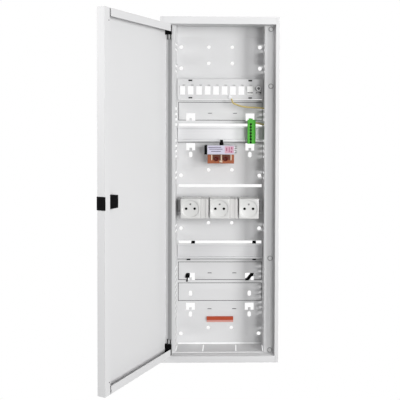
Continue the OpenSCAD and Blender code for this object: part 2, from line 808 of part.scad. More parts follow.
module strap_right() {
    slot_x = 0.8 * inner_half;
    out_x = window_x + 0.3 * window_w;
    out_z = strap_window_z + 0.41 * window_h;
    in_x = window_x - 0.3 * window_w;
    in_z = strap_window_z - 0.47 * window_h;
    color("black") union() {
        strap_tail(slot_x, slot_x);
        strap_run(strap_gap, slot_x, strap_slot_z, out_x, out_z, strap_w);
        strap_pass(window_x + 0.6 * tab_w, window_x + 0.47 * window_w,
            strap_window_z + 0.06 * window_h, strap_window_z + 0.44 * window_h);
        strap_run(strap_front, out_x, out_z, in_x, in_z, strap_w);
        strap_pass(window_x - 0.47 * window_w, window_x - 0.6 * tab_w,
            strap_window_z - 0.44 * window_h, strap_window_z - 0.24 * window_h);
    }
}

// Marker bar with its pale card, on the back sheet
marker_w = 61.5;

module marker_bar() {
    bar_h = 7.8;
    bar_d = 4;
    color("orangered") block([-marker_w / 2 + 0.5, back_y - bar_d, marker_z],
        [marker_w / 2 + 0.5, back_y, marker_z + bar_h]);
}

module marker_card() {
    card_h = 5.6;
    card_d = 1.4;
    color("mistyrose") block([-marker_w / 2 + 0.5, back_y - card_d, marker_z - card_h],
        [marker_w / 2 + 0.5, back_y, marker_z - eps]);
}

// Door: panel, flanges and return lips
bolt_w = 9;
latch_edge = 16;
plate_t = 1.2;
plate_h = 25.6;
plate_over = 2;
thumb_w = 12;
thumb_h = 16;
thumb_window = thumb_w + bolt_travel + 2;
thumb_u = door_w - 24;

module door_pan() {
    slit = 3.4;
    corner_u = door_w - edge_lip - slit;
    dimple_d = 2.6;
    color("white") hung() difference() {
        union() {
            block([0, 0, door_bottom], [door_w, door_sheet, door_top]);
            ring_door(0, door_t);
            for (ends = [[door_top - door_lip, door_top], [door_bottom, door_bottom + door_lip]])
                block([pin_u + 4, door_t - door_sheet, ends[0]], [corner_u, door_t, ends[1]]);
            block([door_w - edge_lip, door_t - door_sheet, door_bottom], [door_w, door_t, door_top]);
        }
        for (z = [door_top - door_sheet - 1, door_bottom - 1])
            translate([pin_u, pin_w, z]) cylinder(d = pin_d + 2 * pin_clear, h = door_sheet + 2);
        block([door_w - door_sheet - 1, door_sheet + 0.6, latch_z - plate_h / 2 + 1],
            [door_w + 1, latch_edge, latch_z + plate_h / 2 - 1]);
        block([thumb_u - thumb_window / 2, -1, latch_z - thumb_h / 2 - 0.5],
            [thumb_u + thumb_window / 2, door_sheet + 1, latch_z + thumb_h / 2 + 0.5]);
        for (z = [door_top - 24, door_bottom + 24])
            translate([door_w - edge_lip + 2.6, door_t - 0.6, z])
                rotate([-90, 0, 0]) cylinder(d = dimple_d, h = 1);
    }
}

// The four flanges of the door, from w0 to w1
module ring_door(w0, w1) {
    difference() {
        block([0, w0, door_bottom], [door_w, w1, door_top]);
        block([door_sheet, w0 - 1, door_bottom + door_sheet],
            [door_w - door_sheet, w1 + 1, door_top - door_sheet]);
    }
}

// Hinge blocks: plastic bearings in the door's hinge corners, with two ribs each
block_u = 4.8;

module hinge_block(end, block_h) {
    inside = end > 0 ? door_top - door_sheet : door_bottom + door_sheet;
    base = end > 0 ? inside - block_h : inside;
    rib_h = 11;
    clear = 0.05;
    color("black") hung() difference() {
        union() {
            block([door_sheet + clear, door_sheet + clear, base],
                [block_u, door_t - door_sheet - 0.2, base + block_h]);
            for (w = [6.4, door_t - door_sheet - 2.4])
                block([door_sheet + clear, w - 0.7, end > 0 ? base - rib_h : base + block_h - eps],
                    [door_sheet + 1.6, w + 0.7, end > 0 ? base + eps : base + block_h + rib_h]);
        }
        translate([pin_u, pin_w, base - 1]) cylinder(d = pin_d + 2 * pin_clear, h = block_h + 2);
    }
}
module hinge_block_upper() { hinge_block(1, block_top_h); }
module hinge_block_lower() { hinge_block(-1, block_low_h); }

// Hinge pins: fixed in the frame, turning in the blocks
pin_len = 22;

module hinge_pin(end) {
    head_h = 1.5;
    seat = end > 0 ? opening_top + sheet_t : opening_bottom - sheet_t;
    color("silver") translate([pin_x, pin_y, 0]) union() {
        translate([0, 0, end > 0 ? seat - pin_len : seat - eps]) cylinder(d = pin_d, h = pin_len + eps);
        translate([0, 0, end > 0 ? seat : seat - head_h]) cylinder(d = pin_d + 1, h = head_h);
    }
}
module hinge_pin_upper() { hinge_pin(1); }
module hinge_pin_lower() { hinge_pin(-1); }

// Latch: a body behind the free edge, and the bolt that slides in it
bolt_d = 5;
bolt_clear = 0.3;

module latch_body() {
    u1 = door_w - edge_lip;
    color("black") hung() difference() {
        union() {
            block([u1 - latch_len, door_sheet, latch_z - latch_h / 2],
                [u1, latch_edge, latch_z + latch_h / 2]);
            block([u1 - eps, door_sheet + 0.8, latch_z - plate_h / 2 + 1.2],
                [door_w + eps, latch_edge - 0.2, latch_z + plate_h / 2 - 1.2]);
            block([door_w, -0.4, latch_z - plate_h / 2],
                [door_w + plate_t, door_t + plate_over, latch_z + plate_h / 2]);
        }
        block([u1 - latch_len + 4, bolt_w - bolt_d / 2 - bolt_clear, latch_z - bolt_h / 2 - bolt_clear],
            [door_w + plate_t + 1, bolt_w + bolt_d / 2 + bolt_clear, latch_z + bolt_h / 2 + bolt_clear]);
        block([thumb_u - thumb_window / 2, -1, latch_z - thumb_h / 2 - 0.5],
            [thumb_u + thumb_window / 2, bolt_w, latch_z + thumb_h / 2 + 0.5]);
    }
}

module latch_bolt() {
    u1 = door_w - edge_lip;
    color("black") hung() union() {
        block([u1 - latch_len + 5, bolt_w - bolt_d / 2, latch_z - bolt_h / 2],
            [door_w + plate_t - 0.2, bolt_w + bolt_d / 2, latch_z + bolt_h / 2]);
        block([thumb_u - bolt_travel / 2 - thumb_w / 2 + 0.5, 0.4, latch_z - thumb_h / 2 + 0.5],
            [thumb_u - bolt_travel / 2 + thumb_w / 2 - 0.5, bolt_w, latch_z + thumb_h / 2 - 0.5]);
    }
}

cover_frame();
back_box();
frame_screws();
keystone_strip();
data_jack();
coax_socket();
earth_stud();
rail_top();
rail_middle();
rail_bottom();
rail_brackets();
terminal_block();
terminal_screws();
earth_wire();
splitter_bracket();
splitter_body();
splitter_label();
splitter_amber();
splitter_end();
splitter_plug();
splitter_caps();
splitter_ports();
socket_left();
socket_centre();
socket_right();
filler_left();
filler_right();
earth_pins();
socket_contacts();
strap_left();
strap_right();
marker_bar();
marker_card();
door_pan();
hinge_block_upper();
hinge_block_lower();
hinge_pin_upper();
hinge_pin_lower();
latch_body();
latch_bolt();
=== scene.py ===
"""Finishes and fine parts of an open wall cabinet for communication wiring, in metres.

+Z is up, the door side faces -Y and +X is the latch side. The origin is the centre of
the four outer wall holes, on the back face of the box.
"""

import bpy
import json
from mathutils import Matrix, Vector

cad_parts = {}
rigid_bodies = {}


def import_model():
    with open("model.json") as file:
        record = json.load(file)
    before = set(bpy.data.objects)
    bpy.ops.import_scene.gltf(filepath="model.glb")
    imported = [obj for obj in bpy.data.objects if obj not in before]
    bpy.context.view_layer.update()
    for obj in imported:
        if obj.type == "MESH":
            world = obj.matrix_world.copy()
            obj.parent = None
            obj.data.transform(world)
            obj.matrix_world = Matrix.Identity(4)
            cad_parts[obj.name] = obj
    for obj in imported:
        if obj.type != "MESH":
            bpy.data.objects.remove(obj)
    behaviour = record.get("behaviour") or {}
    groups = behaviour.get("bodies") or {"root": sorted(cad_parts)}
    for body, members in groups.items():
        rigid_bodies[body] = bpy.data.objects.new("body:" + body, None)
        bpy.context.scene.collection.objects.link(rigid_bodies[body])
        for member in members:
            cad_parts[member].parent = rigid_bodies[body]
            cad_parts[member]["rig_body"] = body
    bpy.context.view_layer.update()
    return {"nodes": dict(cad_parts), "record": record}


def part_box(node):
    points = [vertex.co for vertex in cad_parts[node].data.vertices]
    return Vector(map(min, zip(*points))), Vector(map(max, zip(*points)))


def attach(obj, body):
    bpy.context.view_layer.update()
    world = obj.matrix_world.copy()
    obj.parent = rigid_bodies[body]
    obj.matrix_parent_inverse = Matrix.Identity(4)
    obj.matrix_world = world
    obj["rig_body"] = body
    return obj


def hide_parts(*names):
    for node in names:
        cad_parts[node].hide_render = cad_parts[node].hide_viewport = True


bl_info = {
    "name": "Wiring Cabinet",
    "version": (1, 0, 0),
    "blender": (4, 5, 0),
    "location": "View3D > Sidebar > Cabinet",
    "description": "Finishes and fine parts of a wall cabinet for communication wiring",
    "category": "Object",
}

import itertools
import json
import math

import bmesh
import bpy
import numpy as np
from bpy.props import FloatProperty, FloatVectorProperty, PointerProperty
from mathutils import Matrix, Vector

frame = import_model()

MM = 0.001

# Sizes that the solids have too, in millimetres
WIRE_D = 3.8
KNOCKOUT_H = 42.5
KNOCKOUTS = ((185.1, True), (-185.7, True), (-234.8, False))
WINDOW_IN = 58
WINDOW_OUT = 79
TERM_LOW = 111.35
TERM_PITCH = 6.8
TERM_COUNT = 7
SPLIT_Z = 97.5

SCREW_LEDGE = -55
SCREW_ROWS = (367.1, 240.5, -145.0, -352.4)
SCREW_HEAD_R = 5
SHEET = 1.2

# Small slots of the strip, painted dark as shade, and how far its windows lie below its middle
SLOT_SHADE_X = 68.5
SLOT_SHADE_LEVEL = 19.8
KEY_DROP = 2.9

# Contact holes of an outlet, from its middle
CONTACT_X = 9.5

# Windows of the strip: how many fit across the box, how many there are, and the painted shade at the edge
# over each
KEYS = 10.25
KEY_COUNT = 10
KEY_EDGE = 8.9

# Painted highlight along the fold between the floor and the back sheet
FOLD_LOW = 1.0
FOLD_HIGH = 3.6
FOLD_FRONT = -2.9

# Painted shade in the cut lines and small marks of the back sheet, and the depths of the strips painted on it
GAP_W = 1.2
GAP_FRONT = -0.95
GAP_BACK = -0.3
# Painted shadow strip under each rail: its front, and how far below the rail's foot its bottom and top lie
RAIL_SHADOW_FRONT = -2.0
RAIL_SHADOW_LOW = 3.9
RAIL_SHADOW_HIGH = 2.2
MARKS = (180.7, -190.8, -274.9)

# Points in each quarter of a turned piece, and the angle from which an edge is rounded
TURN_STEPS = 9
EDGE_ANGLE = 32

# Lights: place, the point that it is aimed at, the setting with its power, width and height, in metres
LAMPS = {
    "key_light": ((1.57, -1.52, 0.23), (0, 0, 0.05), "key_power", 0.6, 1.0),
    "front_light": ((0.75, -2.05, 0.23), (0, 0, 0.05), "front_power", 0.6, 1.0),
    "side_light": ((-1.95, -0.45, 0.65), (-0.2, -0.2, 0.1), "side_power", 0.8, 1.2),
}
FLOOR_HALF = 3.0

# Grey strip of painted shade on the door's hinge flange, by its middle, and how far it runs past the hinge
# blocks' ends
HINGE_SHADE_U = 1.6
HINGE_SHADE_W = 12.4
HINGE_SHADE_OVERLAP = 2

# Dimples of the door's free edge, painted dark as shade, in the door's own directions
DIMPLE_U = 225.1
DIMPLE_W = 16.8
DIMPLE_R = 1.25
DIMPLE_IN = 24


# Surfaces

def grid_faces(rows, columns):
    """Quads between neighbouring points of a grid of rows by columns whose columns join up in a loop."""
    r, c = np.meshgrid(np.arange(rows - 1), np.arange(columns), indexing="ij")
    nxt = (c + 1) % columns
    quads = np.stack([r * columns + c, r * columns + nxt, (r + 1) * columns + nxt, (r + 1) * columns + c], -1)
    return quads.reshape(-1, 4).tolist()


def round_outline(half_w, half_h, radius, per_corner=7):
    """Outline of a rectangle with round corners: each corner is a quarter circle about its own centre."""
    quarter = np.linspace(0, math.pi / 2, per_corner)
    turn = (quarter[None, :] + (np.arange(4) * math.pi / 2)[:, None]).ravel()
    centre_a = np.repeat(np.array([1, -1, -1, 1]) * (half_w - radius), per_corner)
    centre_b = np.repeat(np.array([1, 1, -1, -1]) * (half_h - radius), per_corner)
    return np.stack([centre_a + radius * np.cos(turn), centre_b + radius * np.sin(turn)], -1)


def circle(radius, per_corner=7):
    """A circle with as many points as a round outline has, so that one can run into the other."""
    return round_outline(radius, radius, radius * 0.999, per_corner)


def stacked(layers, place):
    """A closed surface through flat outlines of equal count, each at its own depth.

    The placer turns (a, b, depth) into a point, and the first and last outlines are filled.
    """
    points = np.concatenate([
        place(outline[:, 0], outline[:, 1], np.full(len(outline), depth)) for outline, depth in layers])
    columns = len(layers[0][0])
    faces = grid_faces(len(layers), columns)
    last = (len(layers) - 1) * columns
    faces.append(list(range(columns))[::-1])
    faces.append(list(range(last, last + columns)))
    return points, faces


def facing_front(x, y, z):
    """Placer for outlines that face -Y: a runs along X, b along Z, and depth runs back from y."""
    return lambda a, b, depth: np.stack([x + a, y + depth, z + b], -1)


def standing(u, w):
    """Placer for outlines that stand on the door: a runs along w, b along u, and depth is the height."""
    return lambda a, b, depth: np.stack([u + b, w + a, depth], -1)


def turned(profile, place):
    """A surface of revolution: each (radius, depth) of the profile is a circle at that depth."""
    return stacked([(circle(radius, TURN_STEPS), depth) for radius, depth in profile], place)


def joined(*shells):
    """Several surfaces as one set of points and faces."""
    points, faces, count = [], [], 0
    for shell_points, shell_faces in shells:
        points.append(shell_points)
        faces += [[i + count for i in face] for face in shell_faces]
        count += len(shell_points)
    return np.concatenate(points), faces


def box_shell(low, high):
    """A box from its lowest to its highest corner."""
    corners = np.array(list(itertools.product(*zip(low, high))), float)
    faces = [[0, 1, 3, 2], [4, 6, 7, 5], [0, 4, 5, 1], [2, 3, 7, 6], [0, 2, 6, 4], [1, 5, 7, 3]]
    return corners, faces


def curve_through(points, parts):
    """Catmull-Rom curve through the points, with t from 0 to 1 between p1 and p2.

    Half of 2 p1 + (p2 - p0) t + (2 p0 - 5 p1 + 4 p2 - p3) t^2 + (3 p1 - p0 - 3 p2 + p3) t^3.
    """
    p = np.concatenate([points[:1], points, points[-1:]])
    p0, p1, p2, p3 = (p[i:len(p) - 3 + i, None] for i in range(4))
    t = np.linspace(0, 1, parts, endpoint=False)[None, :, None]
    curve = (2 * p1 + (p2 - p0) * t + (2 * p0 - 5 * p1 + 4 * p2 - p3) * t ** 2
             + (3 * p1 - p0 - 3 * p2 + p3) * t ** 3) / 2
    return np.concatenate([curve.reshape(-1, 3), points[-1:]])


def tube(path, radius, sides=16):
    """A round tube: each ring is the path's point plus radius times (cos turn, sin turn) across the path.

    The direction where turn is 0 changes as little as possible from one ring to the next.
    """
    ahead = np.gradient(path, axis=0)
    ahead /= np.linalg.norm(ahead, axis=1)[:, None]
    turn = np.linspace(0, 2 * math.pi, sides, endpoint=False)[:, None]
    side, rings = np.array([0.2, 1, 0.1]), []
    for point, forward in zip(path, ahead):
        side = side - forward * (side @ forward)
        side /= np.linalg.norm(side)
        rings.append(point + radius * (np.cos(turn) * side + np.sin(turn) * np.cross(forward, side)))
    last = (len(path) - 1) * sides
    ends = [list(range(sides))[::-1], list(range(last, last + sides))]
    return np.concatenate(rings), grid_faces(len(path), sides) + ends


def hung(shell):
    """Turns points of the door's own (u, w, z) about the hinge pin by the open angle."""
    points, faces = shell
    door = bpy.context.scene.cabinet_sizes
    angle = -math.radians(door.open_angle)
    u, w = points[:, 0] - door.pin_u / MM, points[:, 1] - door.pin_w / MM
    return np.stack([
        door.pin_x / MM + u * math.cos(angle) - w * math.sin(angle),
        door.pin_y / MM + u * math.sin(angle) + w * math.cos(angle), points[:, 2]], -1), faces


def span(node):
    """A node's lowest and highest corners, in millimetres."""
    return np.array(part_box(node)) / MM


def piece(name, shell, paint, body="cabinet", nodes=(), smooth=35, bevel=None):
    """Makes a mesh object from points in millimetres and faces, paints it, and hangs it on its body."""
    points, faces = shell
    mesh = bpy.data.meshes.new(name)
    mesh.from_pydata((points * MM).tolist(), [], faces)
    work = bmesh.new()
    work.from_mesh(mesh)
    bmesh.ops.remove_doubles(work, verts=work.verts, dist=1e-7)
    bmesh.ops.recalc_face_normals(work, faces=work.faces)
    work.to_mesh(mesh)
    work.free()
    return dressed(name, mesh, paint, body, nodes, smooth, bevel)


def dressed(name, mesh, paint, body, nodes, smooth, bevel):
    """Links a finished mesh as an object with its paint, its body and the nodes that it stands for."""
    mesh.materials.clear()
    mesh.materials.append(material(paint))
    mesh.shade_smooth()
    mesh.set_sharp_from_angle(angle=math.radians(smooth))
    made = bpy.data.objects.new(name, mesh)
    bpy.context.scene.collection.objects.link(made)
    if bevel:
        edge = made.modifiers.new("Edges", "BEVEL")
        edge.width = bevel
        edge.segments = 2
        edge.limit_method = "ANGLE"
        edge.angle_limit = math.radians(EDGE_ANGLE)
        edge.harden_normals = True
    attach(made, body)
    if nodes:
        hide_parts(*nodes)
    return made


def eased(node, paint, bevel):
    """A copy of a node's solid with its edges rounded, standing for it."""
    mesh = frame["nodes"][node].data.copy()
    work = bmesh.new()
    work.from_mesh(mesh)
    bmesh.ops.remove_doubles(work, verts=work.verts, dist=1e-6)
    bmesh.ops.dissolve_limit(
        work, angle_limit=math.radians(0.5), verts=work.verts, edges=work.edges,
        use_dissolve_boundaries=False)
    work.to_mesh(mesh)
    work.free()
    mesh.name = node + "_finish"
    return dressed(mesh.name, mesh, paint, frame["nodes"][node]["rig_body"], [node], 30, bevel)


# Shader groups

def group(name, inputs, outputs):
    """An empty shader group with typed sockets: each input is (name, kind, default)."""
    tree = bpy.data.node_groups.new(name, "ShaderNodeTree")
    for label, kind, default in inputs:
        socket = tree.interface.new_socket(label, in_out="INPUT", socket_type=kind)
        socket.default_value = default
    for label, kind in outputs:
        tree.interface.new_socket(label, in_out="OUTPUT", socket_type=kind)
    start, end = tree.nodes.new("NodeGroupInput"), tree.nodes.new("NodeGroupOutput")
    return tree, start, end


def darkened(tree, color, factor, amount):
    """Colour times (1 - factor * amount): gives factor * amount and the darker colour."""
    share, keep = tree.nodes.new("ShaderNodeMath"), tree.nodes.new("ShaderNodeMath")
    darker = tree.nodes.new("ShaderNodeVectorMath")
    share.operation, keep.operation, darker.operation = "MULTIPLY", "SUBTRACT", "SCALE"
    keep.inputs[0].default_value = 1
    tree.links.new(factor, share.inputs[0])
    tree.links.new(amount, share.inputs[1])
    tree.links.new(share.outputs[0], keep.inputs[1])
    tree.links.new(color, darker.inputs[0])
    tree.links.new(keep.outputs[0], darker.inputs["Scale"])
    return share.outputs[0], darker.outputs[0]


def drift_group():
    """Slow drift of colour and roughness: a wide noise mixes the colour with a darker one."""
    tree, start, end = group("Tone drift", [
        ("Color", "NodeSocketColor", (0.8, 0.8, 0.8, 1)), ("Amount", "NodeSocketFloat", 0.05),
        ("Scale", "NodeSocketFloat", 8.0), ("Roughness", "NodeSocketFloat", 0.5)],
        [("Color", "NodeSocketColor"), ("Roughness", "NodeSocketFloat")])
    link, new = tree.links.new, tree.nodes.new
    place, noise = new("ShaderNodeTexCoord"), new("ShaderNodeTexNoise")
    noise.inputs["Detail"].default_value = 4
    link(place.outputs["Object"], noise.inputs["Vector"])
    link(start.outputs["Scale"], noise.inputs["Scale"])
    share, darker = darkened(tree, start.outputs["Color"], noise.outputs["Fac"], start.outputs["Amount"])
    link(darker, end.inputs["Color"])
    rougher = new("ShaderNodeMath")
    rougher.operation = "ADD"
    link(start.outputs["Roughness"], rougher.inputs[0])
    link(share, rougher.inputs[1])
    link(rougher.outputs[0], end.inputs["Roughness"])
    return tree


def grain_group():
    """Fine grain of powder coat or moulded plastic: a small noise as a height."""
    tree, start, end = group("Fine grain", [
        ("Scale", "NodeSocketFloat", 900.0), ("Strength", "NodeSocketFloat", 0.1)],
        [("Normal", "NodeSocketVector")])
    link, new = tree.links.new, tree.nodes.new
    place, noise, bump = new("ShaderNodeTexCoord"), new("ShaderNodeTexNoise"), new("ShaderNodeBump")
    noise.inputs["Detail"].default_value = 3
    bump.inputs["Distance"].default_value = 0.0002
    link(place.outputs["Object"], noise.inputs["Vector"])
    link(start.outputs["Scale"], noise.inputs["Scale"])
    link(noise.outputs["Fac"], bump.inputs["Height"])
    link(start.outputs["Strength"], bump.inputs["Strength"])
    link(bump.outputs["Normal"], end.inputs["Normal"])
    return tree


def brushed_group():
    """Drawn metal: a noise stretched along X gives streaks in tone and height."""
    tree, start, end = group("Drawn metal", [
        ("Color", "NodeSocketColor", (0.8, 0.8, 0.8, 1)), ("Contrast", "NodeSocketFloat", 0.1),
        ("Strength", "NodeSocketFloat", 0.1)],
        [("Color", "NodeSocketColor"), ("Normal", "NodeSocketVector")])
    link, new = tree.links.new, tree.nodes.new
    place, stretch, noise = new("ShaderNodeTexCoord"), new("ShaderNodeMapping"), new("ShaderNodeTexNoise")
    stretch.inputs["Scale"].default_value = (12, 900, 900)
    noise.inputs["Scale"].default_value = 1
    noise.inputs["Detail"].default_value = 3
    link(place.outputs["Object"], stretch.inputs["Vector"])
    link(stretch.outputs[0], noise.inputs["Vector"])
    darker = darkened(tree, start.outputs["Color"], noise.outputs["Fac"], start.outputs["Contrast"])[1]
    link(darker, end.inputs["Color"])
    bump = new("ShaderNodeBump")
    bump.inputs["Distance"].default_value = 0.0001
    link(noise.outputs["Fac"], bump.inputs["Height"])
    link(start.outputs["Strength"], bump.inputs["Strength"])
    link(bump.outputs["Normal"], end.inputs["Normal"])
    return tree


GROUPS = {"Tone drift": drift_group, "Fine grain": grain_group, "Drawn metal": brushed_group}


def shared(name):
    """The shader group of that name, made once."""
    return bpy.data.node_groups.get(name) or GROUPS[name]()


# Paints: colour (linear), roughness, metallic, coat, drift amount, drift scale, grain scale, grain strength
PAINTS = {
    "frame_paint": ((0.655, 0.655, 0.66), 0.42, 0, 0.15, 0.03, 5, 1100, 0.12),
    "box_paint": ((0.635, 0.635, 0.64), 0.5, 0, 0.08, 0.03, 6, 1100, 0.12),
    "door_paint": ((0.64, 0.64, 0.645), 0.42, 0, 0.15, 0.03, 5, 1100, 0.12),
    "screw_paint": ((0.68, 0.68, 0.68), 0.4, 0, 0.2, 0.03, 40, 1500, 0.1),
    "strip_paint": ((0.63, 0.63, 0.635), 0.4, 0, 0.15, 0.03, 10, 1100, 0.1),
    "jack_plastic": ((0.93, 0.93, 0.92), 0.3, 0, 0.25, 0.02, 60, 1800, 0.05),
    "green_plastic": ((0.085, 0.41, 0.05), 0.5, 0, 0, 0.12, 120, 1500, 0.1),
    "label_film": ((0.56, 0.54, 0.66), 0.35, 0, 0.2, 0.05, 60, 1500, 0.03),
    "amber_plastic": ((0.38, 0.11, 0.045), 0.3, 0, 0.15, 0.35, 90, 900, 0.05),
    "black_plastic": ((0.005, 0.005, 0.0055), 0.6, 0, 0, 0.2, 60, 1500, 0.12),
    "cap_plastic": ((0.11, 0.009, 0.006), 0.4, 0, 0, 0.2, 90, 1500, 0.05),
    "socket_plastic": ((0.64, 0.64, 0.63), 0.28, 0, 0.25, 0.03, 40, 1500, 0.05),
    "filler_plastic": ((0.59, 0.585, 0.575), 0.4, 0, 0.1, 0.05, 40, 1500, 0.08),
    "marker_orange": ((0.42, 0.07, 0.032), 0.5, 0, 0, 0.15, 60, 1200, 0.1),
    "marker_card": ((0.62, 0.3, 0.26), 0.6, 0, 0, 0.1, 80, 1200, 0.1),
    "wire_sleeve": ((0.58, 0.47, 0.2), 0.45, 0, 0, 0.15, 90, 1500, 0.05),
    "strap_fabric": ((0.004, 0.004, 0.0045), 0.95, 0, 0, 0.4, 300, 1400, 0.4),
    "coax_metal": ((0.62, 0.62, 0.62), 0.5, 0.3, 0, 0.1, 90, 1500, 0.1),
    "splitter_metal": ((0.60, 0.61, 0.61), 0.35, 1, 0, 0.12, 60, 1500, 0.1),
    "screw_steel": ((0.50, 0.50, 0.50), 0.38, 1, 0, 0.2, 90, 1500, 0.15),
    "pin_metal": ((0.55, 0.55, 0.55), 0.2, 1, 0, 0.05, 60, 1500, 0.05),
    "contact_brass": ((0.42, 0.30, 0.12), 0.35, 1, 0, 0.2, 90, 1500, 0.1),
    # Dark paint that stands for shade in cut lines, marks and dimples
    "dark_gap": ((0.04, 0.04, 0.042), 0.7, 0, 0, 0.2, 60, 1500, 0.1),
    # Grey that stands for shade on the hinge flange and under the rails; the screw washers take it too
    "seal_foam": ((0.36, 0.36, 0.365), 0.85, 0, 0, 0.15, 70, 1300, 0.5),
    # Dark green that stands for shade in the terminal funnels
    "dark_green": ((0.003, 0.012, 0.003), 0.6, 0, 0, 0.2, 90, 1500, 0.1),
    "film_pink": ((0.6, 0.36, 0.45), 0.4, 0, 0.1, 0.12, 90, 1500, 0.03),
    "film_rose": ((0.36, 0.09, 0.18), 0.4, 0, 0.1, 0.12, 90, 1500, 0.03),
    "film_print": ((0.09, 0.07, 0.12), 0.5, 0, 0, 0.2, 90, 1500, 0.03),
    # Cream of the splitter's posts, also used for a painted highlight
    "post_cream": ((0.62, 0.5, 0.38), 0.35, 0, 0.2, 0.1, 90, 1500, 0.05),
    "smoke": ((0.15, 0.055, 0.04), 0.4, 0, 0, 0.4, 110, 900, 0.05),
    # Black that stands for shade in the outlets' contact holes
    "hole_black": ((0.003, 0.003, 0.003), 0.8, 0, 0, 0.2, 90, 1500, 0.1),
    # Black that stands for shade in the strip's slots and under the jack and coaxial socket
    "clip_black": ((0.01, 0.01, 0.01), 0.6, 0, 0, 0.2, 90, 1500, 0.1),
    "edge_shade": ((0.36, 0.36, 0.365), 0.6, 0, 0, 0.15, 70, 1300, 0.1),
    # White that stands for the highlight along the floor's fold
    "edge_light": ((0.95, 0.95, 0.95), 0.5, 0, 0, 0.03, 20, 1300, 0.05),
    "coax_dark": ((0.13, 0.13, 0.135), 0.45, 0.2, 0, 0.2, 90, 1500, 0.1),
}

# How strongly a plain surface reflects, where it differs from 0.5
SPECULAR = {
    "black_plastic": 0.04, "dark_gap": 0.1, "hole_black": 0.05, "clip_black": 0.1, "dark_green": 0.1,
    "strap_fabric": 0.02, "seal_foam": 0.2, "green_plastic": 0.15, "marker_orange": 0.15,
    "amber_plastic": 0.3, "wire_sleeve": 0.2, "smoke": 0.15, "cap_plastic": 0.2,
}


def principled(name):
    """A new material, its node tree and its shader."""
    made = bpy.data.materials.new(name + "_finish")
    made.use_nodes = True
    shader = made.node_tree.nodes["Principled BSDF"]
    return made, made.node_tree, shader


def coated(name):
    """Paint or plastic: colour drift feeds colour and roughness, fine grain feeds the normal."""
    color, rough, metal, coat, amount, scale, grain_scale, grain = PAINTS[name]
    made, tree, shader = principled(name)
    shader.inputs["Metallic"].default_value = metal
    shader.inputs["Coat Weight"].default_value = coat
    shader.inputs["Coat Roughness"].default_value = 0.25
    shader.inputs["Specular IOR Level"].default_value = SPECULAR.get(name, 0.5)
    drift, fine = tree.nodes.new("ShaderNodeGroup"), tree.nodes.new("ShaderNodeGroup")
    drift.node_tree, fine.node_tree = shared("Tone drift"), shared("Fine grain")
    drift.inputs["Color"].default_value = (*color, 1)
    drift.inputs["Amount"].default_value = amount
    drift.inputs["Scale"].default_value = scale
    drift.inputs["Roughness"].default_value = rough
    fine.inputs["Scale"].default_value = grain_scale
    fine.inputs["Strength"].default_value = grain
    tree.links.new(drift.outputs["Color"], shader.inputs["Base Color"])
    tree.links.new(drift.outputs["Roughness"], shader.inputs["Roughness"])
    tree.links.new(fine.outputs["Normal"], shader.inputs["Normal"])
    return made


def zinc():
    """Zinc-plated rail steel: streaks along the rail over a satin metal."""
    made, tree, shader = principled("zinc")
    shader.inputs["Metallic"].default_value = 0.55
    shader.inputs["Roughness"].default_value = 0.42
    drawn = tree.nodes.new("ShaderNodeGroup")
    drawn.node_tree = shared("Drawn metal")
    drawn.inputs["Color"].default_value = (0.78, 0.78, 0.79, 1)
    drawn.inputs["Contrast"].default_value = 0.12
    drawn.inputs["Strength"].default_value = 0.2
    tree.links.new(drawn.outputs["Color"], shader.inputs["Base Color"])
    tree.links.new(drawn.outputs["Normal"], shader.inputs["Normal"])
    return made


def material(name):
    """The finish of that paint, made once: the frame's own materials already have the plain names."""
    found = bpy.data.materials.get(name + "_finish")
    if found:
        return found
    return zinc() if name == "zinc" else coated(name)


# Sizes and colours that a user would change

class CabinetSizes(bpy.types.PropertyGroup):
    """Places on the door and sizes of the fine parts"""

    open_angle: FloatProperty(
        name="Open angle", description="How far the door stands open, in degrees", default=116)
    pin_u: FloatProperty(
        name="Pin from edge", description="Hinge pin to the hinge edge", default=2.9 * MM, unit="LENGTH")
    pin_w: FloatProperty(
        name="Pin from face", description="Hinge pin to the front face", default=3 * MM, unit="LENGTH")
    pin_x: FloatProperty(name="Pin X", description="Hinge axis along X", default=-117.7 * MM, unit="LENGTH")
    pin_y: FloatProperty(name="Pin Y", description="Hinge axis along Y", default=-72.5 * MM, unit="LENGTH")
    sheet_edge: FloatProperty(
        name="Sheet edge", description="Rounding of sheet edges", default=0.35 * MM, unit="LENGTH")
    plastic_edge: FloatProperty(
        name="Plastic edge", description="Rounding of plastic edges", default=0.4 * MM, unit="LENGTH")


class CabinetStage(bpy.types.PropertyGroup):
    """Camera, lights and floor"""

    camera: FloatVectorProperty(
        name="Camera", description="Camera place", default=(0.02957, -1.4634, 0.15864),
        subtype="XYZ", unit="LENGTH")
    yaw: FloatProperty(
        name="Yaw", description="Turn of the view to the right", default=0.021, subtype="ANGLE")
    pitch: FloatProperty(
        name="Pitch", description="Tilt of the view upwards", default=-0.025, subtype="ANGLE")
    roll: FloatProperty(name="Roll", description="Turn about the view axis", default=0.004, subtype="ANGLE")
    lens: FloatProperty(name="Lens", description="Focal length in millimetres", default=56.8)
    shift_x: FloatProperty(name="Shift X", description="Sideways shift of the view", default=-0.11585)
    shift_y: FloatProperty(name="Shift Y", description="Upward shift of the view", default=-0.153375)
    floor_drop: FloatProperty(
        name="Floor drop", description="Floor below the origin", default=0.9, unit="LENGTH")
    key_power: FloatProperty(
        name="Key", description="Power of the soft box on the right, in watts", default=31)
    front_power: FloatProperty(
        name="Front", description="Power of the soft box in front, in watts", default=16.5)
    side_power: FloatProperty(
        name="Side", description="Power of the soft box on the left, in watts", default=37)
    air: FloatProperty(name="Air", description="Brightness of the light from all around", default=0.36)


# Operators: each makes one piece or a group of like pieces

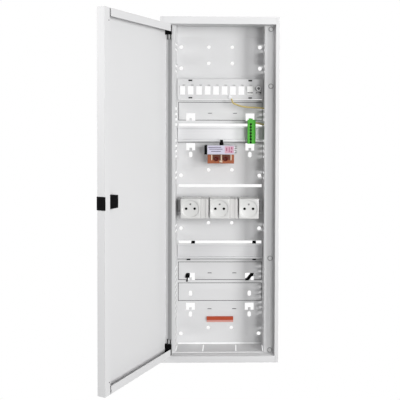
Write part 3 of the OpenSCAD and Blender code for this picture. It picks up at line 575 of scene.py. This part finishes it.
class CABINET_OT_sheet_metal(bpy.types.Operator):
    """Frame, back box, door, strip and rails with rounded sheet edges"""

    bl_idname = "cabinet.sheet_metal"
    bl_label = "Sheet Metal"

    def execute(self, context):
        edge = context.scene.cabinet_sizes.sheet_edge
        eased("cover_frame", "frame_paint", edge)
        eased("back_box", "box_paint", edge * 0.8)
        eased("door_pan", "door_paint", edge)
        eased("keystone_strip", "strip_paint", edge)
        for rail in ("rail_top", "rail_middle", "rail_bottom"):
            eased(rail, "zinc", edge)
        return {"FINISHED"}


class CABINET_OT_plastics(bpy.types.Operator):
    """Moulded parts whose solids only need rounded edges"""

    bl_idname = "cabinet.plastics"
    bl_label = "Moulded Parts"

    def execute(self, context):
        edge = context.scene.cabinet_sizes.plastic_edge
        for node in ("hinge_block_upper", "hinge_block_lower", "latch_body", "latch_bolt",
                     "splitter_end", "splitter_plug"):
            eased(node, "black_plastic", edge)
        eased("splitter_body", "splitter_metal", edge)
        eased("data_jack", "jack_plastic", edge)
        for node in ("filler_left", "filler_right"):
            eased(node, "filler_plastic", edge)
        for node in ("strap_left", "strap_right"):
            eased(node, "strap_fabric", edge)
        return {"FINISHED"}


class CABINET_OT_earth_wire(bpy.types.Operator):
    """Earth wire from the stud to the top clamp of the terminal block"""

    bl_idname = "cabinet.earth_wire"
    bl_label = "Earth Wire"

    def execute(self, context):
        start = np.array([25.8, -17.9, 213.46])
        end = np.array([79.6, -24.7, 158.15])
        route = np.array([
            start, start + (1.2, -1.5, -4), start + (4, -4, -10), (38, -21, 200), (46, -24, 197),
            (56, -26, 195), (68, -27, 194), (80, -28, 193.5), (91, -29, 192.6), (99, -30, 191.7),
            (104, -31, 190), (108, -31, 185),
            (109.5, -31, 178), (109, -31, 170), (107, -30.5, 162), (104, -30, 155.6), (99, -29, 154.8),
            (94, -27, 155.8), end + (6, 0, -0.4), end + (3, 0, 0), end])
        path = curve_through(route, 6)
        wire = piece(
            "earth_wire_sleeve", tube(path, WIRE_D / 2), "wire_sleeve", nodes=["earth_wire"], smooth=60)
        return {"FINISHED"}


class CABINET_OT_back_lines(bpy.types.Operator):
    """Painted shade in the cut lines around the knock-out plates and in small marks, painted shadow under
    rails, a painted highlight along the floor's fold, screw washers
    """

    bl_idname = "cabinet.back_lines"
    bl_label = "Back Lines"

    def execute(self, context):
        half = span("rail_top")[1][0] - 1
        bars = []
        for z, broken in KNOCKOUTS:
            low, high = z - KNOCKOUT_H / 2, z + KNOCKOUT_H / 2
            stops = [-half, -WINDOW_OUT, -WINDOW_IN, WINDOW_IN, WINDOW_OUT, half] if broken else [-half, half]
            bars += [((a, GAP_FRONT, low), (b, GAP_BACK, low + GAP_W))
                     for a, b in zip(stops[::2], stops[1::2])]
            bars.append(((-half, GAP_FRONT, high - GAP_W), (half, GAP_BACK, high)))
            for side in (-1, 1):
                x = side * (half - GAP_W / 2)
                bars.append(((x - GAP_W / 2, GAP_FRONT, low), (x + GAP_W / 2, GAP_BACK, high)))
        bars += [((x - 4.5, GAP_FRONT, z - 0.6), (x + 4.5, GAP_BACK, z + 0.6))
                 for x in (-24, 33.5) for z in MARKS]
        # Dark strips in the cut lines and marks: painted shade
        piece("knockout_gaps", joined(*(box_shell(*bar) for bar in bars)), "dark_gap", bevel=0.15 * MM)
        # Grey strips under the top and bottom rails: painted shadow of the rails on the back sheet
        rail_shadows = []
        for rail in ("rail_top", "rail_bottom"):
            low, high = span(rail)
            rail_shadows.append(box_shell(
                (low[0], RAIL_SHADOW_FRONT, low[2] - RAIL_SHADOW_LOW), (high[0], GAP_BACK, low[2] - RAIL_SHADOW_HIGH)))
        piece("rail_seats", joined(*rail_shadows), "seal_foam", bevel=0.2 * MM)
        # White strip along the fold: painted highlight of the lit fold
        floor = span("back_box")[0][2] + SHEET
        fold = box_shell((-half, FOLD_FRONT, floor + FOLD_LOW), (half, GAP_BACK, floor + FOLD_HIGH))
        piece("floor_fold", fold, "edge_light", bevel=0.3 * MM)
        screw_x = span("frame_screws")[1][0] - SCREW_HEAD_R
        washer = [(4.6, -0.7), (5.2, -0.75), (5.8, -0.5), (6.0, 0.05)]
        rings = [turned(washer, facing_front(side * screw_x, SCREW_LEDGE, z))
                 for side in (-1, 1) for z in SCREW_ROWS]
        piece("screw_washers", joined(*rings), "seal_foam", smooth=50)
        return {"FINISHED"}


class CABINET_OT_strip_parts(bpy.types.Operator):
    """Painted shade in the strip's small slots and under the jack and coaxial socket, painted shade along
    each window's top edge, and the coaxial socket's thread
    """

    bl_idname = "cabinet.strip_parts"
    bl_label = "Strip Parts"

    def execute(self, context):
        low, high = span("keystone_strip")
        face, middle = low[1], (low[2] + high[2]) / 2
        # Dark blocks in the four small slots: painted shade
        slot_shades = [
            box_shell((side * SLOT_SHADE_X - 4.3, face - 0.5, middle + level * SLOT_SHADE_LEVEL - 1.5),
                      (side * SLOT_SHADE_X + 4.3, face + 1.6, middle + level * SLOT_SHADE_LEVEL + 1.5))
            for side in (-1, 1) for level in (-1, 1)]
        slot_z = middle - KEY_DROP - 5
        # Dark bars under and beside the jack and the coaxial socket: painted shadow
        for node in ("data_jack", "coax_socket"):
            left, right = span(node)[0][0], span(node)[1][0]
            slot_shades.append(box_shell(
                (left + 0.6, face - 1.3, slot_z - 0.9), (right - 0.6, face - 0.7, slot_z + 0.5)))
            slot_shades.append(box_shell(
                (right - 2.6, face - 1.6, slot_z - 1.6), (right - 0.4, face - 0.9, slot_z + 1.2)))
        piece("strip_clips", joined(*slot_shades), "clip_black", bevel=0.2 * MM)
        # Grey bar at the top of each window: painted shade
        pitch, top = 2 * (high[0] - 1) / KEYS, middle + KEY_EDGE
        edges = [box_shell((pitch * k - 0.8, face - 0.35, top), (pitch * k + 5.4, face + 0.2, top + 1.2))
                 for k in np.arange(KEY_COUNT) - (KEY_COUNT - 1) / 2]
        piece("window_edges", joined(*edges), "edge_shade", bevel=0.15 * MM)
        low, high = span("coax_socket")
        x, z = (low[0] + high[0]) / 2, middle - KEY_DROP + 4.4
        thread = [(6.0 + 0.3 * math.sin(depth * 4), depth) for depth in np.linspace(-8.6, -0.6, 33)]
        profile = [(0.3, -5.0), (3.3, -5.2), (3.5, -8.7), (5.7, -8.9), *thread, (6.0, 0.4)]
        piece("coax_barrel", turned(profile, facing_front(x, face, z)), "coax_dark", smooth=50)
        eased("coax_socket", "coax_metal", 0.2 * MM)
        return {"FINISHED"}


class CABINET_OT_sockets(bpy.types.Operator):
    """Mains outlets: a square face that runs into a shallow round well, with black cups painted in the
    contact holes as their shade
    """

    bl_idname = "cabinet.sockets"
    bl_label = "Sockets"

    def execute(self, context):
        for node in ("socket_left", "socket_centre", "socket_right"):
            low, high = span(node)
            x, z, half = (low[0] + high[0]) / 2, (low[2] + high[2]) / 2, (high[0] - low[0]) / 2
            depth = high[1] - low[1]
            square = [(half, depth), (half, 1.6), (half - 0.15, 0.8), (half - 0.5, 0.25), (half - 1.1, 0)]
            well = [(19.9, 0), (19.5, 0.15), (18.9, 0.7), (18.2, 1.4), (17.4, 1.6)]
            layers = [(round_outline(size, size, 1.2), back) for size, back in square]
            layers += [(circle(size), back) for size, back in well]
            piece(node + "_shell", stacked(layers, facing_front(x, low[1], z)), "socket_plastic",
                  nodes=[node], smooth=40)
            # Black cups in the contact holes: painted shade of the deep holes
            sleeve = [(0.5, 1.56), (2.2, 1.5), (2.5, 1.25), (2.85, 1.2), (2.95, 1.7)]
            hole_shades = [turned(sleeve, facing_front(x + side * CONTACT_X, low[1], z)) for side in (-1, 1)]
            piece(node + "_sleeves", joined(*hole_shades), "hole_black", smooth=40)
        return {"FINISHED"}


class CABINET_OT_terminal(bpy.types.Operator):
    """Earth terminal block: rounded housing with seven funnels and a channel, painted dark green as their
    shade
    """

    bl_idname = "cabinet.terminal"
    bl_label = "Terminal Block"

    def execute(self, context):
        eased("terminal_block", "green_plastic", context.scene.cabinet_sizes.plastic_edge)
        low, high = span("terminal_block")
        x, front = (low[0] + high[0]) / 2 - 2, low[1]
        # Dark green cups and links: painted shade in the funnels and the channel
        cup = [(0.4, 5.2), (1.2, 5.0), (1.7, 1.2), (2.2, -0.1), (2.55, -0.25), (2.6, 0.2)]
        ways = [TERM_LOW + (k + 0.5) * TERM_PITCH for k in range(TERM_COUNT)]
        cups = [turned(cup, facing_front(x, front, way)) for way in ways]
        links = [box_shell((x - 0.8, front - 0.15, way + 2.2), (x + 0.8, front + 0.3, above - 2.2))
                 for way, above in zip(ways, ways[1:])]
        piece("terminal_funnels", joined(*cups, *links), "dark_green", smooth=40)
        return {"FINISHED"}


class CABINET_OT_splitter(bpy.types.Operator):
    """Splitter: two-tone film with plain rules, copper base with posts and a painted highlight, smoked
    windows and caps
    """

    bl_idname = "cabinet.splitter"
    bl_label = "Splitter"

    def execute(self, context):
        low, high = span("splitter_label")
        eased("splitter_label", "label_film", 0.1 * MM)
        front, middle = low[1], (low[0] + high[0]) / 2 + 9
        pink = box_shell((middle, front - 0.15, low[2] + 2), (high[0] - 1, front + 0.1, high[2] - 1.5))
        piece("label_pink", pink, "film_pink", bevel=0.05 * MM)
        # Each rule by its left end, right end and height, and each mark by its left, right, foot and head
        rules = [(-26, -10, 5.5), (-10, 3, 5.8), (-24, 6, 1.6), (-20, 2, -3.4)]
        marks = [(14, 16.5, -3, 5), (20, 22, -5, 6), (25, 28, 1, 6), (24, 27.5, -6, -2)]
        bars = [box_shell((left, front - 0.2, SPLIT_Z + z - 0.7), (right, front + 0.1, SPLIT_Z + z + 0.7))
                for left, right, z in rules]
        piece("label_rules", joined(*bars), "film_print", bevel=0.05 * MM)
        bars = [box_shell((left, front - 0.3, SPLIT_Z + foot), (right, front, SPLIT_Z + head))
                for left, right, foot, head in marks]
        piece("label_marks", joined(*bars), "film_rose", bevel=0.05 * MM)
        eased("splitter_amber", "amber_plastic", 0.5 * MM)
        low, high = span("splitter_amber")
        front, top = low[1], high[2]
        panes = [box_shell((left, front - 0.5, top - 12), (right, front + 0.2, top - 0.6))
                 for left, right in ((-16.5, 1.2), (5, 23))]
        piece("splitter_panes", joined(*panes), "smoke", bevel=0.3 * MM)
        posts = [box_shell((x - 1.3, front - 1.6, top - 13), (x + 1.3, front + 0.2, top - 0.4))
                 for x in (-18.6, 3.1, 25)]
        # Cream block low on the base: painted highlight
        posts.append(box_shell((-1, front - 1.8, low[2] + 2.5), (5.5, front + 0.2, low[2] + 7)))
        piece("splitter_posts", joined(*posts), "post_cream", bevel=0.5 * MM)
        cap = [(1.2, -0.4), (2.0, -0.8), (2.2, -2.6), (4.0, -3.3), (4.9, -2.6), (5.1, -1.0), (5.1, 3)]
        caps = [turned(cap, facing_front(x, front, top - 9.8)) for x in (-8, 13)]
        piece("splitter_cap_set", joined(*caps), "cap_plastic", nodes=["splitter_caps"], smooth=50)
        return {"FINISHED"}


class CABINET_OT_door_shade(bpy.types.Operator):
    """Painted shade: a grey strip along the inner face of the hinge flange, and two dark dimples at the free
    edge
    """

    bl_idname = "cabinet.door_seal"
    bl_label = "Door Shade"

    def execute(self, context):
        # Grey strip on the hinge flange: painted shade of the flange's inner face
        outline = round_outline(4.5, 0.6, 0.4, 4)
        lowest = span("hinge_block_lower")[1][2] - HINGE_SHADE_OVERLAP
        highest = span("hinge_block_upper")[0][2] + HINGE_SHADE_OVERLAP
        strip = stacked([(outline, lowest), (outline, highest)], standing(HINGE_SHADE_U, HINGE_SHADE_W))
        piece("hinge_seal", hung(strip), "seal_foam", body="door", smooth=40)
        low, high = span("door_pan")
        # Dark discs: painted shade of the two dimples
        dimple = [(DIMPLE_R, 0), (DIMPLE_R - 0.1, 0.35), (0.3, 0.4)]
        dots = [turned(dimple, facing_front(DIMPLE_U, DIMPLE_W, z))
                for z in (low[2] + DIMPLE_IN, high[2] - DIMPLE_IN)]
        piece("edge_dimples", hung(joined(*dots)), "dark_gap", body="door", smooth=40)
        return {"FINISHED"}


class CABINET_OT_paint_solids(bpy.types.Operator):
    """Paints the solids that are shown as they are"""

    bl_idname = "cabinet.paint_solids"
    bl_label = "Paint Solids"

    def execute(self, context):
        for part in frame["record"]["subparts"]:
            node = frame["nodes"][part["node"]]
            node.data.materials.clear()
            node.data.materials.append(material(part["material_slot"]))
        return {"FINISHED"}


def split_by_ray(tree, seen, felt, surface):
    """The camera sees one shader, and every other ray meets the second."""
    path, pick = tree.nodes.new("ShaderNodeLightPath"), tree.nodes.new("ShaderNodeMixShader")
    tree.links.new(path.outputs["Is Camera Ray"], pick.inputs[0])
    tree.links.new(felt.outputs[0], pick.inputs[1])
    tree.links.new(seen.outputs[0], pick.inputs[2])
    tree.links.new(pick.outputs[0], surface)


class CABINET_OT_stage(bpy.types.Operator):
    """Camera, three soft lights, white surround and pale floor"""

    bl_idname = "cabinet.stage"
    bl_label = "Stage"

    def execute(self, context):
        stage = context.scene.cabinet_stage
        self.camera(context, stage)
        self.surround(context, stage)
        self.lights(context, stage)
        self.floor(context, stage)
        return {"FINISHED"}

    def camera(self, context, stage):
        """The camera at its place, turned by yaw, pitch and roll."""
        forward = Vector((math.sin(stage.yaw) * math.cos(stage.pitch),
                          math.cos(stage.yaw) * math.cos(stage.pitch), math.sin(stage.pitch)))
        right = Vector((math.cos(stage.yaw), -math.sin(stage.yaw), 0))
        up = right.cross(forward)
        side = math.cos(stage.roll) * right + math.sin(stage.roll) * up
        top = -math.sin(stage.roll) * right + math.cos(stage.roll) * up
        turn = Matrix((side, top, -forward)).transposed()
        lens = bpy.data.cameras.new("camera")
        lens.lens = stage.lens
        lens.sensor_width = 36
        lens.shift_x = stage.shift_x
        lens.shift_y = stage.shift_y
        lens.clip_start = 0.01
        made = bpy.data.objects.new("camera", lens)
        made.matrix_world = Matrix.Translation(Vector(stage.camera)) @ turn.to_4x4()
        context.scene.collection.objects.link(made)
        context.scene.camera = made

    def surround(self, context, stage):
        """A white surround that lights the cabinet less brightly than it looks."""
        world = bpy.data.worlds.new("surround")
        context.scene.world = world
        world.use_nodes = True
        nodes = world.node_tree.nodes
        seen = nodes["Background"]
        felt = nodes.new("ShaderNodeBackground")
        seen.inputs["Color"].default_value = (1, 1, 1, 1)
        seen.inputs["Strength"].default_value = 1
        felt.inputs["Color"].default_value = (1, 1, 1, 1)
        felt.inputs["Strength"].default_value = stage.air
        split_by_ray(world.node_tree, seen, felt, nodes["World Output"].inputs["Surface"])
        context.scene.view_settings.view_transform = "Standard"
        context.scene.view_settings.look = "None"

    def lights(self, context, stage):
        """The soft boxes, each turned to the point that it is aimed at."""
        for name, (place, aim, power, width, height) in LAMPS.items():
            lamp = bpy.data.lights.new(name, "AREA")
            lamp.energy = getattr(stage, power)
            lamp.shape = "RECTANGLE"
            lamp.size = width
            lamp.size_y = height
            made = bpy.data.objects.new(name, lamp)
            made.location = place
            made.rotation_euler = (Vector(aim) - Vector(place)).to_track_quat("-Z", "Y").to_euler()
            context.scene.collection.objects.link(made)

    def floor(self, context, stage):
        """A flat square under the cabinet, as white as the surround."""
        mesh = bpy.data.meshes.new("floor")
        signs = ((-1, -1), (1, -1), (1, 1), (-1, 1))
        corners = [(a * FLOOR_HALF, b * FLOOR_HALF, -stage.floor_drop) for a, b in signs]
        mesh.from_pydata(corners, [], [(0, 1, 2, 3)])
        made = bpy.data.objects.new("floor", mesh)
        pale = bpy.data.materials.new("floor_white")
        pale.use_nodes = True
        nodes = pale.node_tree.nodes
        nodes.remove(nodes["Principled BSDF"])
        seen, felt = nodes.new("ShaderNodeEmission"), nodes.new("ShaderNodeEmission")
        felt.inputs["Strength"].default_value = stage.air
        split_by_ray(pale.node_tree, seen, felt, nodes["Material Output"].inputs["Surface"])
        mesh.materials.append(pale)
        context.scene.collection.objects.link(made)


class CABINET_PT_panel(bpy.types.Panel):
    """The cabinet's pieces in the order that they are made, and its settings"""

    bl_label = "Wiring Cabinet"
    bl_idname = "CABINET_PT_panel"
    bl_space_type = "VIEW_3D"
    bl_region_type = "UI"
    bl_category = "Cabinet"

    def draw(self, context):
        for step in STEPS:
            self.layout.operator(step.bl_idname)
        for settings in (context.scene.cabinet_sizes, context.scene.cabinet_stage):
            column = self.layout.column()
            for key in settings.bl_rna.properties.keys():
                if key not in ("rna_type", "name"):
                    column.prop(settings, key)


STEPS = (
    CABINET_OT_stage,
    CABINET_OT_earth_wire,
    CABINET_OT_paint_solids,
    CABINET_OT_sheet_metal,
    CABINET_OT_back_lines,
    CABINET_OT_strip_parts,
    CABINET_OT_plastics,
    CABINET_OT_sockets,
    CABINET_OT_terminal,
    CABINET_OT_splitter,
    CABINET_OT_door_shade,
)
CLASSES = (CabinetSizes, CabinetStage, *STEPS, CABINET_PT_panel)


def register():
    """Registers the settings, the operators and the panel."""
    for item in CLASSES:
        bpy.utils.register_class(item)
    bpy.types.Scene.cabinet_sizes = PointerProperty(type=CabinetSizes)
    bpy.types.Scene.cabinet_stage = PointerProperty(type=CabinetStage)


def unregister():
    """Takes them away again."""
    del bpy.types.Scene.cabinet_stage
    del bpy.types.Scene.cabinet_sizes
    for item in reversed(CLASSES):
        bpy.utils.unregister_class(item)


def main():
    """Makes the stage and every piece in order."""
    register()
    for step in STEPS:
        area, name = step.bl_idname.split(".")
        getattr(getattr(bpy.ops, area), name)()


if __name__ == "__main__":
    main()
